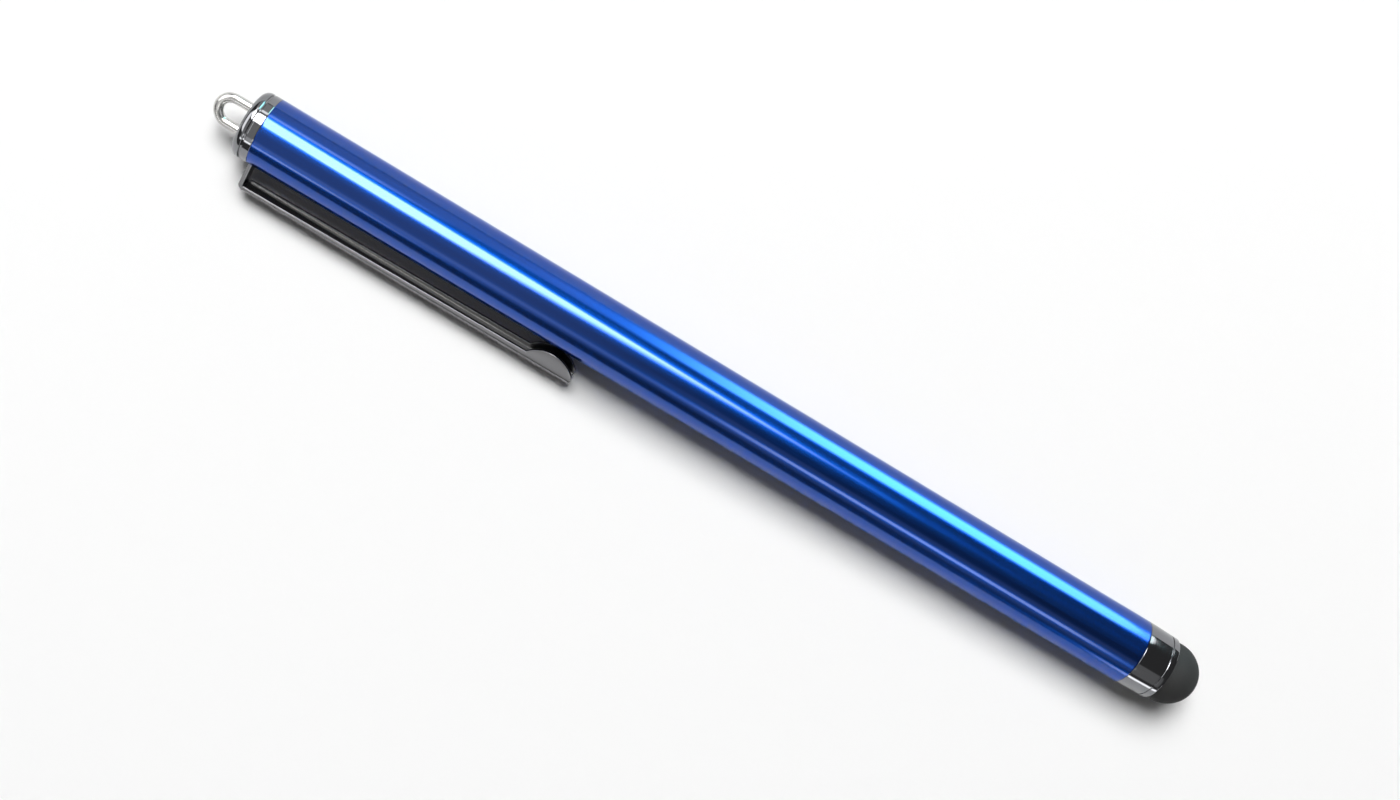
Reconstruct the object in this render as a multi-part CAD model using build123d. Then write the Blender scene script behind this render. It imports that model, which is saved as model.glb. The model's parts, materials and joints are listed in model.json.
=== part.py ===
from build123d import *
import os
from math import asin, atan2, cos, degrees, hypot, sin, sqrt

# A passive touch stylus lying on its side, in millimetres.
# Each piece is modelled along +X, from the barrel's rear end at X = 0 to the soft nib, with its axis on X and its
# clip toward -Y. The whole pen is then rolled about X until the barrel and the clip both lie on the floor at Z = 0.

# Barrel, a drawn aluminium tube. Its ends are eased by a short taper.
barrel_diameter = 7.0
barrel_length = 100.0
barrel_wall = 0.5
barrel_end_taper = 0.6
barrel_end_drop = 0.04

# Clearances: per side, for pieces that are pressed together, that slide, and that pass loosely
press_gap = 0.01
slide_gap = 0.05
loose_gap = 0.06

# Rear cap, turned from brass and flush with the barrel. The floor is the metal left under the loop's seats.
cap_length = 1.9
cap_band_width = 0.8
cap_groove_width = 0.2
cap_groove_depth = 0.2
cap_round = 0.75
cap_edge_round = 0.05
cap_floor = 0.6
cap_stud_length = 5.6

# Rear bushing, the turned insert that takes the cap's stud and traps the clip's tang. The web is the metal between them.
bushing_length = 8.0
bushing_web = 0.68

# Lanyard loop, a U of round wire
loop_wire = 1.0
loop_width = 3.7
loop_reach = 3.65

# Pocket clip, stamped from steel strip. The walls of its channel rise into lobes that stand a gap off the barrel.
clip_sheet = 0.4
clip_width = 2.4
clip_standoff = 2.75
clip_length = 37.3
clip_side_bend = 0.1
clip_root_width = 1.8
clip_root_bend = 0.4
clip_tang_length = 6.0
clip_neck_length = 0.5
clip_wall_depth_rear = 0.56
clip_wall_depth_front = 0.88
clip_lobe_rise = 2.2
clip_lobe_fall = 3.0
clip_lobe_gap = 0.78
clip_end_depth = 0.86

# The clip flexes at its root bend. The split between its two pieces leaves room for the opening, in degrees.
clip_opening = 4.5
clip_bend_relief = 2.5
leg_angle = 180
arm_angle = 270

# Front ferrule, turned from brass and flush with the barrel. The wall is the metal around the dome's pocket.
ferrule_length = 3.5
ferrule_spigot_length = 7.0
ferrule_wall = 0.25
bead_width = 0.7
bead_drop = 0.05
bead_round = 0.15
bead_groove_width = 0.12
bead_groove_floor = 0.1

# Nib dome, hollow conductive rubber, with the travel that it yields under a touch
dome_straight = 0.8
dome_wall = 0.9
dome_skirt_depth = 1.2
dome_lip = 0.6
dome_travel = 0.6
dome_room_behind = 0.15

# Nib core, the turned plug whose mushroom head holds the dome. The grip is how far the head reaches past the neck.
core_length = 6.0
core_shoulder = 0.9
core_head_room = 0.4
core_head_grip = 0.6
core_head_length = 0.8
core_head_round = 0.4

# A rounding takes at most this share of the edge beside it
round_limit = 0.9

# Places worked out from the sizes above
barrel_radius = barrel_diameter / 2
bore_radius = barrel_radius - barrel_wall
plug_radius = bore_radius - press_gap
tang_outer = sqrt((bore_radius - loose_gap) ** 2 - (clip_root_width / 2) ** 2)
tang_inner = tang_outer - clip_sheet
stud_radius = tang_inner - bushing_web - 2 * press_gap
seat_depth = cap_length - cap_floor
clip_outer = barrel_radius + clip_standoff
side_bend_outer = clip_side_bend + clip_sheet
root_bend_outer = clip_root_bend + clip_sheet
hinge_x = root_bend_outer
hinge_radius = clip_outer - root_bend_outer
bend_middle = (leg_angle + arm_angle) / 2
bend_split = clip_opening + clip_bend_relief
ferrule_front = barrel_length + ferrule_length
pocket_radius = barrel_radius - ferrule_wall
dome_radius = pocket_radius - slide_gap
cavity_radius = dome_radius - dome_wall
skirt_rear = ferrule_front - dome_skirt_depth
pocket_floor = skirt_rear - dome_travel - dome_room_behind
lip_front = skirt_rear + dome_lip
head_radius = cavity_radius - core_head_room
neck_radius = head_radius - core_head_grip
core_radius = neck_radius + core_shoulder


def turned(edges):
    """Spin a closed half section, drawn as (x, radius), about the pen's axis."""
    return revolve(make_face(edges), Axis.X)


def rounded_outline(points, rounding):
    """Closed outline through the points, with an arc at each corner that rounding names by its place in the list."""
    face = make_face(Polyline(*points, close=True))
    for index, radius in rounding.items():
        corner = face.vertices().sort_by_distance(Vector(*points[index]))[0]
        face = fillet(corner, radius)
    return face


def block(x_range, y_range, width):
    """Box between two X and two Y limits, with its width centred on the clip's plane."""
    size_x = x_range[1] - x_range[0]
    size_y = y_range[1] - y_range[0]
    middle = ((x_range[0] + x_range[1]) / 2, (y_range[0] + y_range[1]) / 2, 0)
    return Pos(*middle) * Box(size_x, size_y, width)


def strip(face, width):
    """Give a side view, drawn in X and Y, the width of a strip centred on the clip's plane."""
    return extrude(face, width / 2, both=True)


def make_barrel():
    tube = turned(
        Polyline(
            (0, bore_radius),
            (0, barrel_radius - barrel_end_drop),
            (barrel_end_taper, barrel_radius),
            (barrel_length - barrel_end_taper, barrel_radius),
            (barrel_length, barrel_radius - barrel_end_drop),
            (barrel_length, bore_radius),
            close=True,
        )
    )
    notch = block(
        (-clip_sheet, clip_sheet + loose_gap),
        (-barrel_diameter, -tang_inner),
        clip_root_width + 2 * loose_gap,
    )
    return tube - notch


def make_cap():
    groove_front = -cap_band_width
    groove_rear = groove_front - cap_groove_width
    groove_radius = barrel_radius - cap_groove_depth
    ring_width = cap_length + groove_rear
    outline = [
        (-cap_length, 0),
        (-cap_length, barrel_radius),
        (groove_rear, barrel_radius),
        (groove_rear, groove_radius),
        (groove_front, groove_radius),
        (groove_front, barrel_radius),
        (0, barrel_radius),
        (0, stud_radius),
        (cap_stud_length, stud_radius),
        (cap_stud_length, 0),
    ]
    edge = min(cap_edge_round, round_limit * cap_groove_depth)
    rounding = {1: min(cap_round, round_limit * ring_width), 2: edge, 5: edge, 6: edge}
    cap = revolve(rounded_outline(outline, rounding), Axis.X)
    for side in (-1, 1):
        seat = Cylinder(loop_wire / 2 + press_gap, seat_depth, rotation=(0, 90, 0))
        cap -= Pos(-cap_length + seat_depth / 2, side * (loop_width - loop_wire) / 2, 0) * seat
    return cap


def make_loop():
    half = (loop_width - loop_wire) / 2
    foot = -cap_length + seat_depth
    bow = -cap_length - loop_reach + loop_wire / 2 + half
    path = Wire(
        [
            Line((foot, half, 0), (bow, half, 0)),
            ThreePointArc((bow, half, 0), (bow - half, 0, 0), (bow, -half, 0)),
            Line((bow, -half, 0), (foot, -half, 0)),
        ]
    )
    return sweep(Plane((foot, half, 0), z_dir=(-1, 0, 0)) * Circle(loop_wire / 2), path)


def make_bushing():
    rear = clip_sheet + loose_gap
    front = rear + bushing_length
    inner = stud_radius + press_gap
    ring = turned(
        Polyline((rear, inner), (rear, plug_radius), (front, plug_radius), (front, inner), close=True)
    )
    tang_slot = block(
        (0, clip_tang_length + loose_gap),
        (-barrel_diameter, -tang_inner + press_gap),
        clip_root_width + 2 * loose_gap,
    )
    return ring - tang_slot


def root_bend(start, end):
    """Part of the clip's root bend, between two angles about the hinge line."""
    edges = [CenterArc((hinge_x, -hinge_radius), radius, start, end - start)
             for radius in (clip_root_bend, root_bend_outer)]
    sides = [Line(edges[0] @ place, edges[1] @ place) for place in (0, 1)]
    return strip(make_face(edges + sides), clip_root_width)


def make_clip_tang():
    outline = [
        (0, -hinge_radius),
        (0, -tang_inner),
        (clip_tang_length, -tang_inner),
        (clip_tang_length, -tang_outer),
        (clip_sheet, -tang_outer),
        (clip_sheet, -hinge_radius),
    ]
    rounding = {1: side_bend_outer, 4: clip_side_bend}
    angle = strip(rounded_outline(outline, rounding), clip_root_width)
    return angle + root_bend(leg_angle, bend_middle - bend_split / 2)


def make_clip_arm():
    inner = clip_outer - clip_sheet
    half = clip_width / 2
    wall = half - clip_sheet
    wall_start = hinge_x + clip_neck_length
    crest = sqrt((barrel_radius + clip_lobe_gap) ** 2 - wall ** 2)
    neck = block((hinge_x, wall_start + clip_sheet), (-clip_outer, -inner), clip_root_width)
    section = [
        (crest, half),
        (clip_outer, half),
        (clip_outer, -half),
        (crest, -half),
        (crest, -wall),
        (inner, -wall),
        (inner, wall),
        (crest, wall),
    ]
    bends = {1: side_bend_outer, 2: side_bend_outer, 5: clip_side_bend, 6: clip_side_bend}
    # The section's own x runs outward from the pen's axis, and its y runs across the clip.
    across = Plane((wall_start, 0, 0), x_dir=(0, -1, 0), z_dir=(1, 0, 0))
    channel = extrude(across * rounded_outline(section, bends), clip_length - wall_start)
    lobe_end = (clip_length, clip_end_depth - clip_outer)
    lobe_crest = (clip_length - clip_lobe_fall, -crest)
    lobe_start = (clip_length - clip_lobe_fall - clip_lobe_rise, clip_wall_depth_front - clip_outer)
    rear_top = (wall_start, clip_wall_depth_rear - clip_outer)
    side_view = make_face(
        [
            Polyline(lobe_end, (clip_length, -clip_outer), (wall_start, -clip_outer), rear_top, lobe_start),
            ThreePointArc(lobe_start, lobe_crest, lobe_end),
        ]
    )
    arm_bend = root_bend(bend_middle + bend_split / 2, arm_angle)
    return neck + arm_bend + (channel & strip(side_view, clip_width))


def make_ferrule():
    bead_radius = barrel_radius - bead_drop
    bead_rear = ferrule_front - bead_width
    groove_rear = bead_rear - bead_groove_width
    groove_radius = pocket_radius + bead_groove_floor
    spigot_rear = barrel_length - ferrule_spigot_length
    core_bore = core_radius + press_gap
    outline = [
        (spigot_rear, core_bore),
        (spigot_rear, plug_radius),
        (barrel_length, plug_radius),
        (barrel_length, barrel_radius),
        (groove_rear, barrel_radius),
        (groove_rear, groove_radius),
        (bead_rear, groove_radius),
        (bead_rear, bead_radius),
        (ferrule_front, bead_radius),
        (ferrule_front, pocket_radius),
        (pocket_floor, pocket_radius),
        (pocket_floor, core_bore),
    ]
    rim = bead_radius - pocket_radius
    rounding = {3: barrel_end_drop, 8: min(bead_round, round_limit * rim)}
    return revolve(rounded_outline(outline, rounding), Axis.X)


def make_core():
    head_rear = lip_front + slide_gap
    head_front = head_rear + core_head_length
    outline = [
        (pocket_floor - core_length, 0),
        (pocket_floor - core_length, core_radius),
        (pocket_floor, core_radius),
        (pocket_floor, neck_radius),
        (head_rear, neck_radius),
        (head_rear, head_radius),
        (head_front, head_radius),
        (head_front, 0),
    ]
    return revolve(rounded_outline(outline, {6: min(core_head_round, round_limit * core_head_length)}), Axis.X)


def make_dome():
    centre = ferrule_front + dome_straight
    lip_hole = neck_radius + slide_gap
    return turned(
        [
            Polyline((skirt_rear, lip_hole), (skirt_rear, dome_radius), (centre, dome_radius)),
            CenterArc((centre, 0), dome_radius, 0, 90),
            Line((centre + dome_radius, 0), (centre + cavity_radius, 0)),
            CenterArc((centre, 0), cavity_radius, 0, 90),
            Polyline((centre, cavity_radius), (lip_front, cavity_radius), (lip_front, lip_hole), (skirt_rear, lip_hole)),
        ]
    )


pieces = {
    "barrel_tube": make_barrel(),
    "rear_cap": make_cap(),
    "lanyard_loop": make_loop(),
    "rear_bushing": make_bushing(),
    "clip_tang": make_clip_tang(),
    "clip_arm": make_clip_arm(),
    "front_ferrule": make_ferrule(),
    "nib_core": make_core(),
    "nib_dome": make_dome(),
}

# The pen rolls toward its clip until the clip's lower corner, a bend about the corner line, is level with the barrel.
corner_radius = clip_outer - side_bend_outer
corner_side = clip_width / 2 - side_bend_outer
reach = hypot(corner_radius, corner_side)
roll = asin((barrel_radius - side_bend_outer) / reach) - atan2(corner_side, corner_radius)

rolled = {name: Rot(X=degrees(roll)) * piece for name, piece in pieces.items()}
box = Compound(list(rolled.values())).bounding_box()
to_floor = Pos(-box.center().X, -box.center().Y, -box.min.Z)

os.makedirs("parts", exist_ok=True)
for name, piece in rolled.items():
    placed = to_floor * piece
    placed.label = name
    export_step(placed, f"parts/{name}.step")

axis_y, axis_z = to_floor.position.Y, to_floor.position.Z
hinge = (
    hinge_x + to_floor.position.X,
    axis_y - hinge_radius * cos(roll),
    axis_z - hinge_radius * sin(roll),
)
print("overall size", [round(v, 3) for v in box.size])
print("roll in degrees", round(degrees(roll), 4))
print("barrel's rear end and axis at", [round(v, 4) for v in to_floor.position])
print("clip hinge at", [round(v, 4) for v in hinge], "along", [0, round(sin(roll), 6), round(-cos(roll), 6)])
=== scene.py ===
# %% [markdown]
# # A touch stylus, dressed in Blender
# The CAD model already gives every piece of this stylus its place and its size. This lesson loads it as a
# fixed frame and builds the visible pieces around it: a glossy blue tube, a bright cap with a wire loop, a
# sprung clip, a ferrule and a soft rubber nib. Everything is in metres, and the pen lies on the floor at
# Z = 0 with its nib toward +X.

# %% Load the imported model
import json
from math import atan2, cos, hypot, pi, radians, sin, sqrt, tan

import bmesh
import bpy
from mathutils import Matrix, Vector


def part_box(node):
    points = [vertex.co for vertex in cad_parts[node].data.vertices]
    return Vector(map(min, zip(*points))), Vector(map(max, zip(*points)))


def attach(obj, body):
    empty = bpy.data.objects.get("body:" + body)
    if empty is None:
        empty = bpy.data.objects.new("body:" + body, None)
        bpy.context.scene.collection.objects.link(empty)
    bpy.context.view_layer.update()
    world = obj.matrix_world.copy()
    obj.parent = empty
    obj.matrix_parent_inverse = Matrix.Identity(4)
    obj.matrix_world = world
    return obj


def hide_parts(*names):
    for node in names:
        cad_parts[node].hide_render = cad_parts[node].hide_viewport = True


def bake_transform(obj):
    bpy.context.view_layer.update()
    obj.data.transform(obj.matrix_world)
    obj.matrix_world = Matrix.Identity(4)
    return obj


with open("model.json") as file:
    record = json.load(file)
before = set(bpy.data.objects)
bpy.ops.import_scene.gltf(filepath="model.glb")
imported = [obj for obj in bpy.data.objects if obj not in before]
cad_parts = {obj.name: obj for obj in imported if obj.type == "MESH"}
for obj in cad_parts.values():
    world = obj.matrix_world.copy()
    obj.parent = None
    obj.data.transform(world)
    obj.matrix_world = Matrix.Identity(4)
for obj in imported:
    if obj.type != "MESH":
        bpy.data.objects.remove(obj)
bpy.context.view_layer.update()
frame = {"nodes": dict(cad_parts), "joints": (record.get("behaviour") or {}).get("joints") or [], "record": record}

# %% [markdown]
# ## The pen's own axes
# The pen is rolled about its length until the clip rests on the floor. Modelling is easier along the pen
# itself: x runs from the barrel's rear end to the nib, the clip is toward -y, and the numbers are
# millimetres. One matrix then carries each finished mesh to its place. The CAD record already knows where
# the axis is and how far the pen is rolled.

# %% Read the pen's axis and roll from the record
MM = 0.001
barrel_mount = next(m for m in frame["record"]["mounts"] if m["name"] == "barrel")
clip_joint = next(j for j in frame["joints"] if j["name"] == "clip_flex")
axis_y, axis_z = barrel_mount["pos_m"][1:]
rear_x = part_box("barrel_tube")[0].x
roll = atan2(clip_joint["axis"][1], -clip_joint["axis"][2])
pen_to_row = (
    Matrix.Translation((rear_x, axis_y, axis_z)) @ Matrix.Rotation(roll, 4, "X") @ Matrix.Scale(MM, 4)
)
print("axis at y", axis_y, "z", axis_z, "rolled by", round(roll, 4), "radians")

# %% [markdown]
# ## The camera
# The photograph looks almost straight down on the pen, with the nib at the lower right. The camera was
# fitted to the pen's two ends and its clip, so two of its directions are written out here, and the third
# follows from them. A lens of 46 mm on a 36 mm wide sensor gives the same perspective: the cap end is a
# little larger than the nib end.

# %% Place the camera
camera_data = bpy.data.cameras.new("camera")
camera_data.sensor_width = 36
camera_data.lens = 46.29
camera = bpy.data.objects.new("camera", camera_data)
camera_right = Vector((0.85387, 0.51398, 0.08201))
camera_up = Vector((-0.51163, 0.85780, -0.04914))
camera_back = camera_right.cross(camera_up)
camera_place = Vector((-18.72, 0.606, 180.24)) * MM
turn = Matrix((camera_right, camera_up, camera_back)).transposed().to_4x4()
camera.matrix_world = Matrix.Translation(camera_place) @ turn
bpy.context.scene.collection.objects.link(camera)
bpy.context.scene.camera = camera
print("camera looks along", [round(-v, 3) for v in camera_back])

# %% [markdown]
# ## Colours and nodes
# Colours are written as sRGB hex values, the way a paint chart gives them, and Blender wants linear light.
# One function does that sum. Another adds a shader node, sets its properties and fills its inputs with
# values or with links, so each material below reads as a short list.

# %% Small helpers for materials
def linear(hex_colour):
    """Linear RGBA of an sRGB hex colour such as #3060a0."""
    channels = [int(hex_colour[i : i + 2], 16) / 255 for i in (1, 3, 5)]
    return [c / 12.92 if c <= 0.04045 else ((c + 0.055) / 1.055) ** 2.4 for c in channels] + [1]


def add_node(tree, kind, inputs=None, **settings):
    """Add one node with its settings. Each input takes a value, or a socket to link from."""
    node = tree.nodes.new(kind)
    for name, value in settings.items():
        setattr(node, name, value)
    for name, value in (inputs or {}).items():
        if isinstance(value, bpy.types.NodeSocket):
            tree.links.new(value, node.inputs[name])
        else:
            node.inputs[name].default_value = value
    return node


def new_material(name):
    """An empty node material. Returns it, its tree and the Object coordinates that its patterns read."""
    material = bpy.data.materials.new(name)
    material.use_nodes = True
    tree = material.node_tree
    tree.nodes.clear()
    place = add_node(tree, "ShaderNodeTexCoord").outputs["Object"]
    return material, tree, place


def show(tree, surface):
    """Send a shader to the material's output."""
    add_node(tree, "ShaderNodeOutputMaterial", {"Surface": surface.outputs[0]})


print("blue as linear light", [round(v, 3) for v in linear("#3060a0")])

# %% [markdown]
# ## Blue anodised aluminium
# The barrel is a drawn aluminium tube, polished, then anodised and dyed blue and sealed. The eye sees
# coloured metal: reflections take the blue, even at a glancing angle. Only the sealed oxide skin adds a
# white gloss. It bends light more than a lacquer does, with an index of about 1.7, so lines of light have a
# whiter core. Drawing leaves very fine lines along the tube, and the dye is a little uneven. The lines are
# really some 0.02 mm apart, so they are drawn coarser, at about 0.15 mm, to show at all.

# %% The barrel's finish
blue_metal, tree, place = new_material("anodised_aluminium_blue")
draw_line, line_stretch, dye_patch = 0.15 * MM, 60, 9 * MM
noise_range = {"From Min": 0.3, "From Max": 0.7}
along = add_node(
    tree,
    "ShaderNodeMapping",
    {"Vector": place, "Scale": (1 / (line_stretch * draw_line), 1 / draw_line, 1 / draw_line)},
)
lines = add_node(
    tree,
    "ShaderNodeTexNoise",
    {"Vector": along.outputs[0], "Scale": 1.0, "Detail": 3.0, "Roughness": 0.6},
)
dye = add_node(tree, "ShaderNodeTexNoise", {"Vector": place, "Scale": 1 / dye_patch, "Detail": 2.0})
dye_mix = add_node(
    tree,
    "ShaderNodeMix",
    {"Factor": dye.outputs["Fac"], 6: linear("#024197"), 7: linear("#04449f")},
    data_type="RGBA",
)
gloss = add_node(
    tree,
    "ShaderNodeMapRange",
    {"Value": lines.outputs["Fac"], **noise_range, "To Min": 0.2, "To Max": 0.27},
)
relief = add_node(
    tree,
    "ShaderNodeBump",
    {"Height": lines.outputs["Fac"], "Strength": 0.03, "Distance": 0.01 * MM},
)
shader = add_node(
    tree,
    "ShaderNodeBsdfPrincipled",
    {
        "Base Color": dye_mix.outputs[2],
        "Metallic": 1.0,
        "Roughness": gloss.outputs[0],
        "Normal": relief.outputs[0],
        "Specular Tint": linear("#7cbcf3"),
        "Coat Weight": 0.55,
        "Coat IOR": 1.7,
        "Coat Roughness": 0.06,
    },
)
show(tree, shader)
print("made", blue_metal.name)

# %% [markdown]
# ## Bright plate
# The cap and the ferrule are turned brass with a polished nickel and chrome plate. The plate mirrors what
# is around it, slightly grey. A lathe leaves fine rings, so the roughness changes a little along the pen's
# length only.

# %% The plated finish of cap and ferrule
bright_plate, tree, place = new_material("chrome_plated_brass")
tool_mark, mark_stretch = 0.12 * MM, 30
ring_scale = (1 / tool_mark, 1 / (mark_stretch * tool_mark), 1 / (mark_stretch * tool_mark))
along = add_node(tree, "ShaderNodeMapping", {"Vector": place, "Scale": ring_scale})
rings = add_node(tree, "ShaderNodeTexNoise", {"Vector": along.outputs[0], "Scale": 1.0, "Detail": 2.0})
gloss = add_node(
    tree,
    "ShaderNodeMapRange",
    {"Value": rings.outputs["Fac"], **noise_range, "To Min": 0.04, "To Max": 0.09},
)
relief = add_node(
    tree,
    "ShaderNodeBump",
    {"Height": rings.outputs["Fac"], "Strength": 0.05, "Distance": 0.01 * MM},
)
shader = add_node(
    tree,
    "ShaderNodeBsdfPrincipled",
    {
        "Base Color": linear("#848588"),
        "Metallic": 1.0,
        "Roughness": gloss.outputs[0],
        "Normal": relief.outputs[0],
    },
)
show(tree, shader)
print("made", bright_plate.name)

# %% [markdown]
# ## Dark plate
# The clip is spring steel strip with the same polished plate, darker in the photograph because it looks
# into the shade between itself and the barrel. Rolling the strip leaves faint lines along it.

# %% The clip's finish
dark_plate, tree, place = new_material("plated_spring_steel")
roll_line, roll_stretch = 0.1 * MM, 80
along = add_node(
    tree,
    "ShaderNodeMapping",
    {"Vector": place, "Scale": (1 / (roll_stretch * roll_line), 1 / roll_line, 1 / roll_line)},
)
grain = add_node(tree, "ShaderNodeTexNoise", {"Vector": along.outputs[0], "Scale": 1.0, "Detail": 3.0})
gloss = add_node(
    tree,
    "ShaderNodeMapRange",
    {"Value": grain.outputs["Fac"], **noise_range, "To Min": 0.12, "To Max": 0.2},
)
relief = add_node(
    tree,
    "ShaderNodeBump",
    {"Height": grain.outputs["Fac"], "Strength": 0.05, "Distance": 0.01 * MM},
)
shader = add_node(
    tree,
    "ShaderNodeBsdfPrincipled",
    {
        "Base Color": linear("#828284"),
        "Metallic": 1.0,
        "Roughness": gloss.outputs[0],
        "Normal": relief.outputs[0],
    },
)
show(tree, shader)
print("made", dark_plate.name)

# %% [markdown]
# A plating bath hardly reaches into a narrow fold, so the plate is thinner and duller there. Light also
# gets there only after two or three bounces between the walls. The darker colour of these faces is painted
# shade, on top of the shade that those bounces give. The thinner plate only makes them duller.

# %% The dull inside of the clip, with painted shade
clip_inside_painted_shade, tree, place = new_material("plated_spring_steel_inside_fold_painted_shade")
fold_grain = 0.2 * MM
grain = add_node(tree, "ShaderNodeTexNoise", {"Vector": place, "Scale": 1 / fold_grain, "Detail": 3.0})
gloss = add_node(
    tree,
    "ShaderNodeMapRange",
    {"Value": grain.outputs["Fac"], **noise_range, "To Min": 0.18, "To Max": 0.26},
)
# The darker base colour is painted shade for the inside of the fold.
shader = add_node(
    tree,
    "ShaderNodeBsdfPrincipled",
    {"Base Color": linear("#6b6b6b"), "Metallic": 1.0, "Roughness": gloss.outputs[0]},
)
show(tree, shader)
print("made", clip_inside_painted_shade.name)

# %% [markdown]
# ## Nickel-plated wire
# The lanyard loop is bent from round steel wire and nickel plated. It is paler than the cap and not quite
# a mirror, because drawn wire keeps a fine grain under its plate.

# %% The loop's finish
wire_plate, tree, place = new_material("nickel_plated_wire")
wire_grain = 0.5 * MM
grain = add_node(tree, "ShaderNodeTexNoise", {"Vector": place, "Scale": 1 / wire_grain, "Detail": 3.0})
gloss = add_node(
    tree,
    "ShaderNodeMapRange",
    {"Value": grain.outputs["Fac"], **noise_range, "To Min": 0.22, "To Max": 0.28},
)
shader = add_node(
    tree,
    "ShaderNodeBsdfPrincipled",
    {"Base Color": linear("#d6d5d2"), "Metallic": 1.0, "Roughness": gloss.outputs[0]},
)
show(tree, shader)
print("made", wire_plate.name)

# %% [markdown]
# ## Conductive silicone
# The nib is soft silicone rubber filled with carbon, so a touch screen can feel it. Moulding leaves it
# matte with a very fine grain, and handling polishes nothing. It is almost black and only slightly shiny.

# %% The nib's finish
soft_rubber, tree, place = new_material("conductive_silicone_rubber")
mould_grain = 0.12 * MM
grain = add_node(tree, "ShaderNodeTexNoise", {"Vector": place, "Scale": 1 / mould_grain, "Detail": 3.0})
tone = add_node(
    tree,
    "ShaderNodeMix",
    {"Factor": grain.outputs["Fac"], 6: linear("#2a2a2a"), 7: linear("#343434")},
    data_type="RGBA",
)
relief = add_node(
    tree,
    "ShaderNodeBump",
    {"Height": grain.outputs["Fac"], "Strength": 0.25, "Distance": 0.02 * MM},
)
shader = add_node(
    tree,
    "ShaderNodeBsdfPrincipled",
    {
        "Base Color": tone.outputs[2],
        "Roughness": 0.75,
        "Specular IOR Level": 0.22,
        "Normal": relief.outputs[0],
    },
)
show(tree, shader)
print("made", soft_rubber.name)

# %% [markdown]
# ## Turned brass
# The bushing and the nib core are hidden inside the pen. They are brass as it leaves the lathe: yellow
# metal with rings. Both keep their CAD meshes, because nobody sees them until the pen is taken apart.

# %% The hidden pieces' finish
turned_brass, tree, place = new_material("turned_brass")
along = add_node(tree, "ShaderNodeMapping", {"Vector": place, "Scale": ring_scale})
rings = add_node(tree, "ShaderNodeTexNoise", {"Vector": along.outputs[0], "Scale": 1.0, "Detail": 2.0})
tone = add_node(
    tree,
    "ShaderNodeMix",
    {"Factor": rings.outputs["Fac"], 6: linear("#b58a3c"), 7: linear("#cda557")},
    data_type="RGBA",
)
shader = add_node(
    tree,
    "ShaderNodeBsdfPrincipled",
    {"Base Color": tone.outputs[2], "Metallic": 1.0, "Roughness": 0.28},
)
show(tree, shader)
for node in ("rear_bushing", "nib_core"):
    hidden = frame["nodes"][node]
    hidden.data.materials.clear()
    hidden.data.materials.append(turned_brass)
print("made", turned_brass.name)

# %% [markdown]
# ## Lathe work
# Most of the pen is turned, so most pieces start as half a section that is spun about the axis. A sharp
# corner on the section becomes a ring of edges, and a bevel on that ring gives the small rounding that
# catches the light.

# %% Helpers that turn a section
MERGE, NEARLY = 1e-4, 1e-3


def close_up(bm):
    """Merge doubled points and turn every face outwards."""
    bmesh.ops.remove_doubles(bm, verts=bm.verts, dist=MERGE)
    bmesh.ops.recalc_face_normals(bm, faces=bm.faces)


def turn_section(bm, sides):
    """Spin all the points and edges of a section once about the pen's axis."""
    half_section = bm.verts[:] + bm.edges[:]
    full_turn = {"cent": (0, 0, 0), "axis": (1, 0, 0), "angle": 2 * pi, "steps": sides}
    bmesh.ops.spin(bm, geom=half_section, use_merge=True, **full_turn)
    close_up(bm)


def lathe(section, sides, closed=False):
    """Turn a section of (x, radius) points, which a closed section joins back to its first point."""
    bm = bmesh.new()
    verts = [bm.verts.new((x, radius, 0)) for x, radius in section]
    ends = verts[1:] + verts[:1] if closed else verts[1:]
    for pair in zip(verts, ends):
        bm.edges.new(pair)
    turn_section(bm, sides)
    return bm


def round_off(bm, geom, width, segments, affect="EDGES"):
    """Bevel edges or corners to a round of a given width."""
    shape = {"offset_type": "OFFSET", "profile": 0.5, "material": -1}
    bmesh.ops.bevel(bm, geom=geom, offset=width, segments=segments, affect=affect, **shape)


def round_ring(bm, x, radius, width, segments=3):
    """Round the ring of edges at one place on a turned piece."""

    def on_ring(co):
        return abs(co.x - x) < NEARLY and abs(hypot(co.y, co.z) - radius) < NEARLY

    round_off(bm, [e for e in bm.edges if all(on_ring(v.co) for v in e.verts)], width, segments)


print("lathe helpers ready, points within", MERGE, "mm are merged")

# %% [markdown]
# A finished mesh is carried to its place and gets smooth shading that leaves true corners crisp. It rides
# on its body, and the CAD nodes that it replaces are hidden. Two pieces are joined, or one is cut from the
# other, with a Boolean modifier, and a weld then removes the slivers that it can leave.

# %% Helpers that finish a piece
SHARP_ANGLE = radians(12)
WELD = 0.001 * MM


def to_object(bm, name):
    """Carry a mesh from the pen's own axes to the row frame and make it an object."""
    bmesh.ops.transform(bm, matrix=pen_to_row, verts=bm.verts)
    mesh = bpy.data.meshes.new(name)
    bm.to_mesh(mesh)
    bm.free()
    piece = bpy.data.objects.new(name, mesh)
    bpy.context.scene.collection.objects.link(piece)
    return piece


def settle(piece):
    """Replace a piece's mesh by what its modifiers make of it."""
    made = bpy.data.meshes.new_from_object(piece.evaluated_get(bpy.context.evaluated_depsgraph_get()))
    piece.modifiers.clear()
    old, piece.data = piece.data, made
    bpy.data.meshes.remove(old)
    piece.data.name = piece.name


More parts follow.
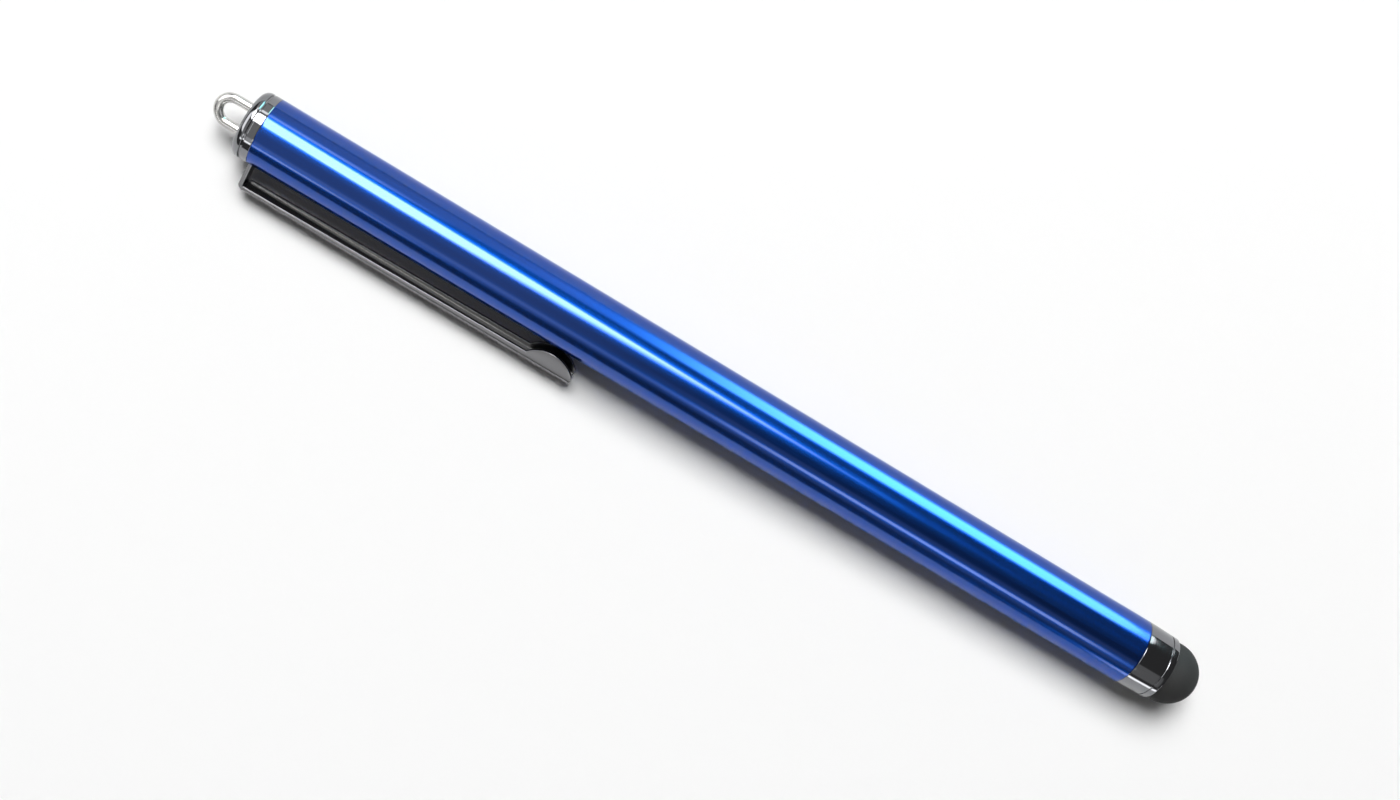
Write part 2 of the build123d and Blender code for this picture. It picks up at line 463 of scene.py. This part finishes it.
def dress(piece, material, nodes, body=None):
    """Shade a piece smooth with crisp corners, give it a material and a body, and hide the CAD nodes that it
    replaces.
    """
    piece.data.shade_smooth()
    piece.data.set_sharp_from_angle(angle=SHARP_ANGLE)
    even = piece.modifiers.new("even_normals", "WEIGHTED_NORMAL")
    even.mode, even.weight, even.keep_sharp = "FACE_AREA", 100, True
    settle(piece)
    mesh = piece.data
    mesh.materials.clear()
    mesh.materials.append(material)
    if body:
        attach(piece, body)
    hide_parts(*nodes)
    bm = bmesh.new()
    bm.from_mesh(mesh)
    open_edges = sum(1 for e in bm.edges if not e.is_manifold)
    bm.free()
    print(piece.name, len(mesh.polygons), "faces,", open_edges, "open edges")


def combine(piece, other, operation):
    """Join another object to a piece or cut it away, and delete the other object."""
    step = piece.modifiers.new("combine", "BOOLEAN")
    step.operation, step.solver, step.object = operation, "EXACT", other
    weld = piece.modifiers.new("weld", "WELD")
    weld.merge_threshold = WELD
    settle(piece)
    bpy.data.objects.remove(other)


print("finishing helpers ready, corners over", round(SHARP_ANGLE, 3), "radians stay crisp")

# %% [markdown]
# ## The barrel
# A plain tube, 7 mm across and 100 mm long, with its ends eased so that it meets the cap and the ferrule
# in a fine line. A small notch at the rear lets the clip's leg through the wall. The tube is spun with its
# bore, and a box cuts the notch.

# %% Spin the barrel and cut its notch
BARREL_RADIUS, BARREL_LENGTH, BARREL_BORE, BARREL_SIDES = 3.5, 100.0, 3.0, 192
END_TAPER, END_DROP, END_ROUND = 0.15, 0.02, 0.03
bm = lathe(
    [
        (0, BARREL_BORE),
        (0, BARREL_RADIUS - END_DROP),
        (END_TAPER, BARREL_RADIUS),
        (BARREL_LENGTH - END_TAPER, BARREL_RADIUS),
        (BARREL_LENGTH, BARREL_RADIUS - END_DROP),
        (BARREL_LENGTH, BARREL_BORE),
    ],
    BARREL_SIDES,
    closed=True,
)
for x in (0, BARREL_LENGTH):
    round_ring(bm, x, BARREL_RADIUS - END_DROP, END_ROUND, segments=2)
barrel = to_object(bm, "barrel")
NOTCH_LENGTH, NOTCH_WIDTH = 0.46, 1.92
CUTTER_INNER, CUTTER_HEIGHT = 2.4, 3.0
bm = bmesh.new()
bmesh.ops.create_cube(bm, size=1)
bmesh.ops.scale(bm, vec=(2 * NOTCH_LENGTH, CUTTER_HEIGHT, NOTCH_WIDTH), verts=bm.verts)
bmesh.ops.translate(bm, vec=(0, -CUTTER_INNER - CUTTER_HEIGHT / 2, 0), verts=bm.verts)
combine(barrel, to_object(bm, "notch_cutter"), "DIFFERENCE")
dress(barrel, blue_metal, ["barrel_tube"], "barrel")

# %% [markdown]
# ## The rear cap
# A short finial with two bands and a groove between them. Its rear edge is well rounded, and a stud holds
# it in the barrel. The bands are flush with the barrel, so the light runs over from one to the other.

# %% Spin the cap
CAP_LENGTH, BAND, GROOVE, GROOVE_DEPTH = 1.9, 0.8, 0.2, 0.2
STUD_RADIUS, STUD_LENGTH = 1.7, 5.6
CAP_ROUND, BAND_ROUND, TURNED_SIDES = 0.75, 0.06, 160
bm = lathe(
    [
        (-CAP_LENGTH, 0),
        (-CAP_LENGTH, BARREL_RADIUS),
        (-BAND - GROOVE, BARREL_RADIUS),
        (-BAND - GROOVE, BARREL_RADIUS - GROOVE_DEPTH),
        (-BAND, BARREL_RADIUS - GROOVE_DEPTH),
        (-BAND, BARREL_RADIUS),
        (0, BARREL_RADIUS),
        (0, STUD_RADIUS),
        (STUD_LENGTH, STUD_RADIUS),
        (STUD_LENGTH, 0),
    ],
    TURNED_SIDES,
)
round_ring(bm, -CAP_LENGTH, BARREL_RADIUS, CAP_ROUND, segments=10)
for x in (-BAND - GROOVE, -BAND, 0):
    round_ring(bm, x, BARREL_RADIUS, BAND_ROUND)
rear_cap = to_object(bm, "cap")
dress(rear_cap, bright_plate, ["rear_cap"], "barrel")

# %% [markdown]
# ## The lanyard loop
# A U of round wire whose two feet are set into the cap. A circle is extruded up one leg, spun half a turn,
# and extruded down the other leg.

# %% Bend the wire loop
WIRE, LOOP_WIDTH, LOOP_REACH, SEAT = 1.0, 3.7, 3.65, 1.3
WIRE_SIDES, BOW_STEPS = 32, 40
loop_half = (LOOP_WIDTH - WIRE) / 2
foot_x = -CAP_LENGTH + SEAT
bow_x = -CAP_LENGTH - LOOP_REACH + WIRE / 2 + loop_half
bm = bmesh.new()
circle = bmesh.ops.create_circle(bm, cap_ends=True, radius=WIRE / 2, segments=WIRE_SIDES)["verts"]
bmesh.ops.rotate(bm, cent=(0, 0, 0), matrix=Matrix.Rotation(pi / 2, 3, "Y"), verts=circle)
bmesh.ops.translate(bm, vec=(foot_x, loop_half, 0), verts=circle)


def with_edges(faces):
    """Faces and their edges. Given both, an extrusion leaves no face behind inside the metal."""
    return faces + list({e for f in faces for e in f.edges})


def pull(bm, faces, vec):
    """Extrude faces along a vector and return the moved faces."""
    made = bmesh.ops.extrude_face_region(bm, geom=with_edges(faces))["geom"]
    bmesh.ops.translate(bm, vec=vec, verts=[g for g in made if isinstance(g, bmesh.types.BMVert)])
    return [g for g in made if isinstance(g, bmesh.types.BMFace)]


end = with_edges(pull(bm, bm.faces[:], (bow_x - foot_x, 0, 0)))
half_turn = {"cent": (bow_x, 0, 0), "axis": (0, 0, 1), "angle": pi, "steps": BOW_STEPS}
bend = bmesh.ops.spin(bm, geom=end, **half_turn)["geom_last"]
end = [g for g in bend if isinstance(g, bmesh.types.BMFace)]
pull(bm, end, (foot_x - bow_x, 0, 0))
close_up(bm)
wire_loop = to_object(bm, "loop")
dress(wire_loop, wire_plate, ["lanyard_loop"], "barrel")

# %% [markdown]
# ## The clip's strip
# The clip is one stamped strip. Its tang lies inside the barrel, its leg comes out through the notch, and
# a bend turns it forward. That side view is a flat outline whose corners are bevelled into bends, extruded
# to the strip's width. A bend's outer corner is larger than its inner one by the thickness of the sheet.

# %% Bend the strip at the clip's root
SHEET, ROOT_WIDTH, CLIP_OUTER = 0.4, 1.8, 6.25
TANG_INNER, TANG_LENGTH, NECK_END = 2.4, 6.0, 0.6
TANG_BEND, ROOT_BEND, BEND_SEGMENTS = 0.1, 0.15, 8
side_view = [
    ((TANG_LENGTH, -TANG_INNER), 0),
    ((0, -TANG_INNER), TANG_BEND + SHEET),
    ((0, -CLIP_OUTER), ROOT_BEND + SHEET),
    ((NECK_END, -CLIP_OUTER), 0),
    ((NECK_END, -CLIP_OUTER + SHEET), 0),
    ((SHEET, -CLIP_OUTER + SHEET), ROOT_BEND),
    ((SHEET, -TANG_INNER - SHEET), TANG_BEND),
    ((TANG_LENGTH, -TANG_INNER - SHEET), 0),
]


def outline_face(bm, points, plane):
    """A flat face through the points, with each corner bevelled to its own bend radius."""
    verts = [bm.verts.new(plane(*place)) for place, _ in points]
    bm.faces.new(verts)
    for vert, (_, radius) in zip(verts, points):
        if radius:
            round_off(bm, [vert], radius, BEND_SEGMENTS, affect="VERTICES")
    return bm.faces[:]


def soften(bm, faces, width):
    """Round the border of some flat faces, as deburring does to a stamped edge."""
    border = {e for f in faces for e in f.edges}
    round_off(bm, list(border), width, segments=3)


DEBURR, FLAT = 0.03, 0.99
bm = bmesh.new()
near = outline_face(bm, side_view, lambda x, y: (x, y, -ROOT_WIDTH / 2))
pull(bm, near, (0, 0, ROOT_WIDTH))
bmesh.ops.recalc_face_normals(bm, faces=bm.faces)
soften(bm, [f for f in bm.faces if abs(f.normal.z) > FLAT], DEBURR)
clip = to_object(bm, "clip")
print("strip has", len(clip.data.polygons), "faces")

# %% [markdown]
# ## The clip's channel
# In front of the root the strip's sides are folded toward the barrel, which makes the long arm stiff. Near
# the free end the two walls rise into lobes that grip the cloth of a pocket. The top of a lobe is an arc
# through three points: where it starts, its crest, and the corner at the free end.

# %% Work out the lobes' arc
CLIP_LENGTH, LOBE_RISE, LOBE_FALL, LOBE_STEPS = 37.3, 2.2, 3.0, 28
DEPTH_REAR, DEPTH_FRONT, DEPTH_CREST, DEPTH_END = 0.56, 0.88, 2.045, 0.86
lobe_crest = CLIP_LENGTH - LOBE_FALL
lobe_start = lobe_crest - LOBE_RISE


def circle_through(a, b, c):
    """Centre and radius of the circle through three points."""
    d = 2 * (a[0] * (b[1] - c[1]) + b[0] * (c[1] - a[1]) + c[0] * (a[1] - b[1]))
    squares = [p[0] ** 2 + p[1] ** 2 for p in (a, b, c)]
    x = (squares[0] * (b[1] - c[1]) + squares[1] * (c[1] - a[1]) + squares[2] * (a[1] - b[1])) / d
    y = (squares[0] * (c[0] - b[0]) + squares[1] * (a[0] - c[0]) + squares[2] * (b[0] - a[0])) / d
    return x, y, hypot(a[0] - x, a[1] - y)


arc_x, arc_depth, arc_radius = circle_through(
    (lobe_start, DEPTH_FRONT), (lobe_crest, DEPTH_CREST), (CLIP_LENGTH, DEPTH_END)
)
stations = [(lobe_start, DEPTH_FRONT)]
for step in range(1, LOBE_STEPS + 1):
    x = lobe_start + (CLIP_LENGTH - lobe_start) * step / LOBE_STEPS
    stations.append((x, arc_depth + sqrt(max(arc_radius**2 - (x - arc_x) ** 2, 0))))
print("lobe arc of radius", round(arc_radius, 2), "mm in", len(stations), "stations")

# %% [markdown]
# The channel's section is extruded along the pen from station to station, and at each one the wall tops
# move to their height there. A union then makes the strip and the channel one piece.

# %% Extrude the channel and raise its lobes
CLIP_WIDTH, WALL_START, SIDE_BEND, EDGE, FOOT_MARGIN = 2.4, 0.55, 0.1, 0.05, 0.005
half, inner_half = CLIP_WIDTH / 2, CLIP_WIDTH / 2 - SHEET
section = [
    ((DEPTH_REAR, half), EDGE),
    ((0, half), SIDE_BEND + SHEET),
    ((0, -half), SIDE_BEND + SHEET),
    ((DEPTH_REAR, -half), EDGE),
    ((DEPTH_REAR, -inner_half), EDGE),
    ((SHEET, -inner_half), SIDE_BEND),
    ((SHEET, inner_half), SIDE_BEND),
    ((DEPTH_REAR, inner_half), EDGE),
]
bm = bmesh.new()
face = outline_face(bm, section, lambda depth, across: (WALL_START, depth - CLIP_OUTER, across))
last_x, last_depth = WALL_START, DEPTH_REAR
wall_foot = DEPTH_REAR - EDGE - FOOT_MARGIN - CLIP_OUTER
for x, depth in stations:
    face = pull(bm, face, (x - last_x, 0, 0))
    for vert in face[0].verts:
        if vert.co.y > wall_foot:
            vert.co.y += depth - last_depth
    last_x, last_depth = x, depth
bmesh.ops.recalc_face_normals(bm, faces=bm.faces)
soften(bm, [f for f in bm.faces if abs(f.normal.x) > FLAT], DEBURR)
combine(clip, to_object(bm, "channel"), "UNION")
print("clip has", len(clip.data.polygons), "faces")

# %% [markdown]
# The faces inside the fold take the duller finish, whose darker colour is painted shade. The clip stays one
# fixed mesh, with its placement baked in.

# %% Finish the clip and bake its placement into the mesh
dress(clip, dark_plate, ["clip_tang", "clip_arm"])
# The second slot gives the faces inside the fold their painted shade.
clip.data.materials.append(clip_inside_painted_shade)
row_to_pen = pen_to_row.inverted()
FOLD_BESIDE, FOLD_BELOW, FOLD_BEHIND = 0.02, 0.15, 0.05
inside = 0
for face in clip.data.polygons:
    x, y, z = row_to_pen @ face.center
    within = abs(z) < inner_half + FOLD_BESIDE and y > SHEET - CLIP_OUTER - FOLD_BELOW
    if within and x > SHEET - FOLD_BEHIND:
        face.material_index = 1
        inside += 1
print(inside, "faces of the clip are inside the fold")
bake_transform(clip)

# %% [markdown]
# ## The front ferrule
# A turned sleeve, flush with the barrel, that holds the rubber nib. It narrows very slightly toward the
# nib, and a fine groove sets off a narrow bead at its mouth. The spigot inside the barrel is hidden, but it
# belongs to the piece.

# %% Spin the ferrule
FERRULE_FRONT, BEAD, BEAD_GROOVE = BARREL_LENGTH + 3.5, 0.7, 0.12
BEAD_RADIUS, BEAD_GROOVE_RADIUS, POCKET = 3.43, 3.34, 3.25
TAPER_START, TAPER_RADIUS = BARREL_LENGTH + 0.9, 3.44
SPIGOT_REAR, SPIGOT_RADIUS = BARREL_LENGTH - 7, 2.99
POCKET_FLOOR, CORE_BORE = BARREL_LENGTH + 1.55, 2.21
FERRULE_ROUND, BEAD_ROUND, MOUTH_ROUND = 0.04, 0.05, 0.17
bead_rear = FERRULE_FRONT - BEAD
bm = lathe(
    [
        (SPIGOT_REAR, CORE_BORE),
        (SPIGOT_REAR, SPIGOT_RADIUS),
        (BARREL_LENGTH, SPIGOT_RADIUS),
        (BARREL_LENGTH, BARREL_RADIUS),
        (TAPER_START, BARREL_RADIUS),
        (bead_rear - BEAD_GROOVE, TAPER_RADIUS),
        (bead_rear - BEAD_GROOVE, BEAD_GROOVE_RADIUS),
        (bead_rear, BEAD_GROOVE_RADIUS),
        (bead_rear, BEAD_RADIUS),
        (FERRULE_FRONT, BEAD_RADIUS),
        (FERRULE_FRONT, POCKET),
        (POCKET_FLOOR, POCKET),
        (POCKET_FLOOR, CORE_BORE),
    ],
    TURNED_SIDES,
    closed=True,
)
round_ring(bm, BARREL_LENGTH, BARREL_RADIUS, FERRULE_ROUND)
round_ring(bm, bead_rear - BEAD_GROOVE, TAPER_RADIUS, FERRULE_ROUND)
round_ring(bm, bead_rear, BEAD_RADIUS, BEAD_ROUND)
round_ring(bm, FERRULE_FRONT, BEAD_RADIUS, MOUTH_ROUND, segments=5)
ferrule = to_object(bm, "ferrule")
dress(ferrule, bright_plate, ["front_ferrule"], "barrel")

# %% [markdown]
# ## The rubber nib
# A hollow dome with a straight skirt in the ferrule's mouth. A quarter circle for the outside and one for
# the cavity are spun from single vertices, joined to the skirt, and the whole section is then spun about
# the pen's axis.

# %% Spin the dome
DOME_RADIUS, CAVITY, LIP_HOLE, DOME_STEPS = 3.2, 2.3, 1.35, 28
SKIRT_REAR, LIP_FRONT, DOME_CENTRE = FERRULE_FRONT - 1.2, FERRULE_FRONT - 0.6, FERRULE_FRONT + 0.8
bm = bmesh.new()
rims = []
quarter_turn = {"cent": (DOME_CENTRE, 0, 0), "axis": (0, 0, 1), "angle": pi / 2, "steps": DOME_STEPS}
for radius in (DOME_RADIUS, CAVITY):
    tip = bm.verts.new((DOME_CENTRE + radius, 0, 0))
    swept = bmesh.ops.spin(bm, geom=[tip], **quarter_turn)["geom_last"]
    rims.append(next(g for g in swept if isinstance(g, bmesh.types.BMVert)))
skirt = [(SKIRT_REAR, DOME_RADIUS), (SKIRT_REAR, LIP_HOLE), (LIP_FRONT, LIP_HOLE), (LIP_FRONT, CAVITY)]
chain = [rims[0]] + [bm.verts.new((x, radius, 0)) for x, radius in skirt] + [rims[1]]
for pair in zip(chain, chain[1:]):
    bm.edges.new(pair)
turn_section(bm, TURNED_SIDES)
dome = to_object(bm, "nib")
dress(dome, soft_rubber, ["nib_dome"], "nib")

# %% [markdown]
# ## Floor
# The photograph has a plain white ground. A large disc of matte white stands in for it. Away from the pen,
# where the key's light falls off, the disc also glows for the camera and for polished surfaces. The glow
# starts beyond the pen's shadow and lights nothing matte.

# %% Lay the floor
FLOOR_RADIUS, FLOOR_SIDES = 6, 96
GLOW_START, GLOW_FULL, GLOW = 0.12, 1.6, 0.8
white_ground, tree, place = new_material("matte_white_card")
card = add_node(tree, "ShaderNodeBsdfDiffuse", {"Color": linear("#fbfbfb"), "Roughness": 0.0})
ray = add_node(tree, "ShaderNodeLightPath").outputs
polished = add_node(
    tree, "ShaderNodeMath", {0: ray["Is Camera Ray"], 1: ray["Is Glossy Ray"]}, operation="ADD"
)
seen = add_node(
    tree, "ShaderNodeMath", {0: polished.outputs[0], 1: ray["Is Transmission Ray"]}, operation="ADD"
)
reach = add_node(tree, "ShaderNodeVectorMath", {0: place}, operation="LENGTH").outputs["Value"]
away = add_node(
    tree,
    "ShaderNodeMapRange",
    {"Value": reach, "From Min": GLOW_START, "From Max": GLOW_FULL, "To Min": 0.0, "To Max": GLOW},
)
glow = add_node(tree, "ShaderNodeMath", {0: away.outputs[0], 1: seen.outputs[0]}, operation="MULTIPLY")
lit = add_node(tree, "ShaderNodeEmission", {"Color": (1, 1, 1, 1), "Strength": glow.outputs[0]})
shader = add_node(tree, "ShaderNodeAddShader", {0: card.outputs[0], 1: lit.outputs[0]})
show(tree, shader)
bm = bmesh.new()
bmesh.ops.create_circle(bm, cap_ends=True, radius=FLOOR_RADIUS, segments=FLOOR_SIDES)
mesh = bpy.data.meshes.new("floor")
bm.to_mesh(mesh)
bm.free()
floor = bpy.data.objects.new("floor", mesh)
floor.data.materials.append(white_ground)
bpy.context.scene.collection.objects.link(floor)
print("floor laid, radius", FLOOR_RADIUS, "m")

# %% [markdown]
# ## Light
# A polished round bar shows every lamp as a line along its length. Where the line lies tells how far the
# lamp is turned from straight above, because the angle doubles in the mirror. Each softbox here is placed
# by that angle about the pen's axis, positive toward the clip, by the stretch of the pen that it covers,
# and by how bright its face is. A face that fades at its borders gives a line with soft edges.

# %% Helpers that make a softbox
LAMP_DISTANCE = 1500.0


def fading_face(tree, rear, front, edge, card):
    """Brightness over a lamp's face, from full to nothing at its ends and sides, as shares of the face.
    A card shows only in polished surfaces: it lights nothing matte, and throws no glint on the floor."""
    on_face = add_node(tree, "ShaderNodeNewGeometry").outputs["Parametric"]
    across = add_node(tree, "ShaderNodeSeparateXYZ", {"Vector": on_face}).outputs
    factors = []
    for output, start, end in (("X", 0, rear), ("X", 1, 1 - front), ("Y", 0, edge), ("Y", 1, 1 - edge)):
        limits = {"Value": across[output], "From Min": min(start, end), "From Max": max(start, end)}
        limits.update({"To Min": 0.0, "To Max": 1.0} if start < end else {"To Min": 1.0, "To Max": 0.0})
        fade = add_node(tree, "ShaderNodeMapRange", limits, interpolation_type="SMOOTHSTEP")
        factors.append(fade.outputs[0])
    if card:
        matte_bounces = add_node(tree, "ShaderNodeLightPath").outputs["Diffuse Depth"]
        direct = add_node(tree, "ShaderNodeMath", {0: matte_bounces, 1: 0.5}, operation="LESS_THAN")
        factors.append(direct.outputs[0])
    level = factors[0]
    for factor in factors[1:]:
        level = add_node(tree, "ShaderNodeMath", {0: level, 1: factor}, operation="MULTIPLY").outputs[0]
    return level


def softbox(
    name, angle, spread, reach, radiance, fades=(40, 40), side=3, skew=0, tint="#ffffff", card=True
):
    """An area lamp that faces the pen. Angles are in degrees about the pen's axis, lengths in millimetres.
    Its face fades out over two lengths at its rear and front ends, and over an angle at its two sides."""
    x_from, x_to = reach
    data = bpy.data.lights.new(name, "AREA")
    data.shape = "RECTANGLE"
    data.size = (x_to - x_from) * MM
    data.size_y = 2 * LAMP_DISTANCE * tan(radians(spread / 2)) * MM
    data.energy = radiance * pi * data.size * data.size_y
    data.color = linear(tint)[:3]
    data.use_nodes = True
    tree = data.node_tree
    tree.nodes.clear()
    rear, front = (length / (x_to - x_from) for length in fades)
    level = fading_face(tree, rear, front, side / spread, card)
    face = add_node(tree, "ShaderNodeEmission", {"Strength": level})
    add_node(tree, "ShaderNodeOutputLight", {"Surface": face.outputs[0]})
    lamp = bpy.data.objects.new(name, data)
    outward = Vector((0, -sin(radians(angle)), cos(radians(angle))))
    lengthwise = Matrix.Rotation(radians(skew), 3, outward) @ Vector((1, 0, 0))
    turn = Matrix((lengthwise, outward.cross(lengthwise), outward)).transposed().to_4x4()
    middle = Vector(((x_from + x_to) / 2 * MM, axis_y, axis_z)) + outward * LAMP_DISTANCE * MM
    lamp.matrix_world = Matrix.Translation(middle) @ turn
    lamp.visible_camera = False
    lamp.visible_diffuse, lamp.visible_glossy = not card, card
    bpy.context.scene.collection.objects.link(lamp)
    print(name, "at", [round(v, 2) for v in middle], "power", round(data.energy, 2))


print("softboxes hang", LAMP_DISTANCE, "mm from the pen's axis")

# %% [markdown]
# The key lights everything matte, such as the floor and the rubber, and casts the shadow on the clip's
# side. Metal shows the cards instead. A long strip, set askew, draws the white line that slants over the
# rear half of the barrel. A pale cyan window draws the broad band on the front half, and a small card puts
# a glint on the ferrule.

# %% Hang the key and the bright cards
softbox("key", angle=-30, spread=38, reach=(-1000, 200), radiance=11.8, fades=(200, 200), side=8, card=False)
softbox(
    "strip_key", angle=-23.5, spread=27, reach=(-951, 341), radiance=15.6, fades=(40, 377), side=6, skew=-42
)
softbox(
    "window_side",
    angle=-71,
    spread=44,
    reach=(20, 632),
    radiance=11.4,
    fades=(250, 14),
    side=12,
    tint="#a8faff",
)
softbox("card_ferrule", angle=-71, spread=36, reach=(632, 680), radiance=3.9, fades=(5, 30), side=8)

# %% [markdown]
# Dim, wide cards fill the fields between the lines of light. A polished tube would be almost black there
# without them.

# %% Hang the dim cards
softbox("card_above", angle=30, spread=74, reach=(-800, 250), radiance=0.38, fades=(50, 350), side=4)
softbox("card_above_front", angle=46, spread=46, reach=(60, 900), radiance=0.22, fades=(150, 100), side=4)
softbox("card_side", angle=-70, spread=36, reach=(-1000, 120), radiance=0.58, fades=(50, 150), side=4)
softbox("band_clip_side", angle=51, spread=16, reach=(-480, 280), radiance=0.52, fades=(120, 120), side=4)

# %% [markdown]
# Narrow strips draw the fine lines on both sides of the barrel and low on the ferrule. The last card hangs
# far behind the pen, where the cap and the wire loop mirror it.

# %% Hang the narrow strips and the card behind the pen
softbox(
    "strip_rear_clip_side", angle=62, spread=8, reach=(-700, -110), radiance=3.4, fades=(40, 200), side=2
)
softbox("strip_front_clip_side", angle=47, spread=12, reach=(120, 640), radiance=3.6, fades=(150, 90))
softbox("strip_rear_far_side", angle=-51, spread=11, reach=(-700, -100), radiance=3.1, fades=(40, 200))
softbox("strip_low_front", angle=84, spread=12, reach=(575, 1000), radiance=3.9, fades=(60, 40))
softbox("card_rear", angle=0, spread=90, reach=(-4500, -900), radiance=2.9, fades=(300, 300), side=10)

# %% [markdown]
# ## World
# The room is dim, so the metal keeps its dark bands, and it grows lighter toward the horizon.

# %% Set the world and the view transform
HORIZON_LIGHT, OVERHEAD_LIGHT, OVERHEAD_FROM = 0.115, 0.08, 0.5
world = bpy.data.worlds.new("studio")
world.use_nodes = True
tree = world.node_tree
tree.nodes.clear()
direction = add_node(tree, "ShaderNodeTexCoord").outputs["Generated"]
height = add_node(tree, "ShaderNodeSeparateXYZ", {"Vector": direction}).outputs["Z"]
heights = {"Value": height, "From Min": 0.0, "From Max": OVERHEAD_FROM}
level = add_node(
    tree, "ShaderNodeMapRange", {**heights, "To Min": HORIZON_LIGHT, "To Max": OVERHEAD_LIGHT}
)
back_light = add_node(
    tree, "ShaderNodeBackground", {"Color": (1, 1, 1, 1), "Strength": level.outputs[0]}
)
add_node(tree, "ShaderNodeOutputWorld", {"Surface": back_light.outputs[0]})
bpy.context.scene.world = world
bpy.context.scene.view_settings.view_transform = "Standard"
print("world light", HORIZON_LIGHT, "at the horizon and", OVERHEAD_LIGHT, "overhead")
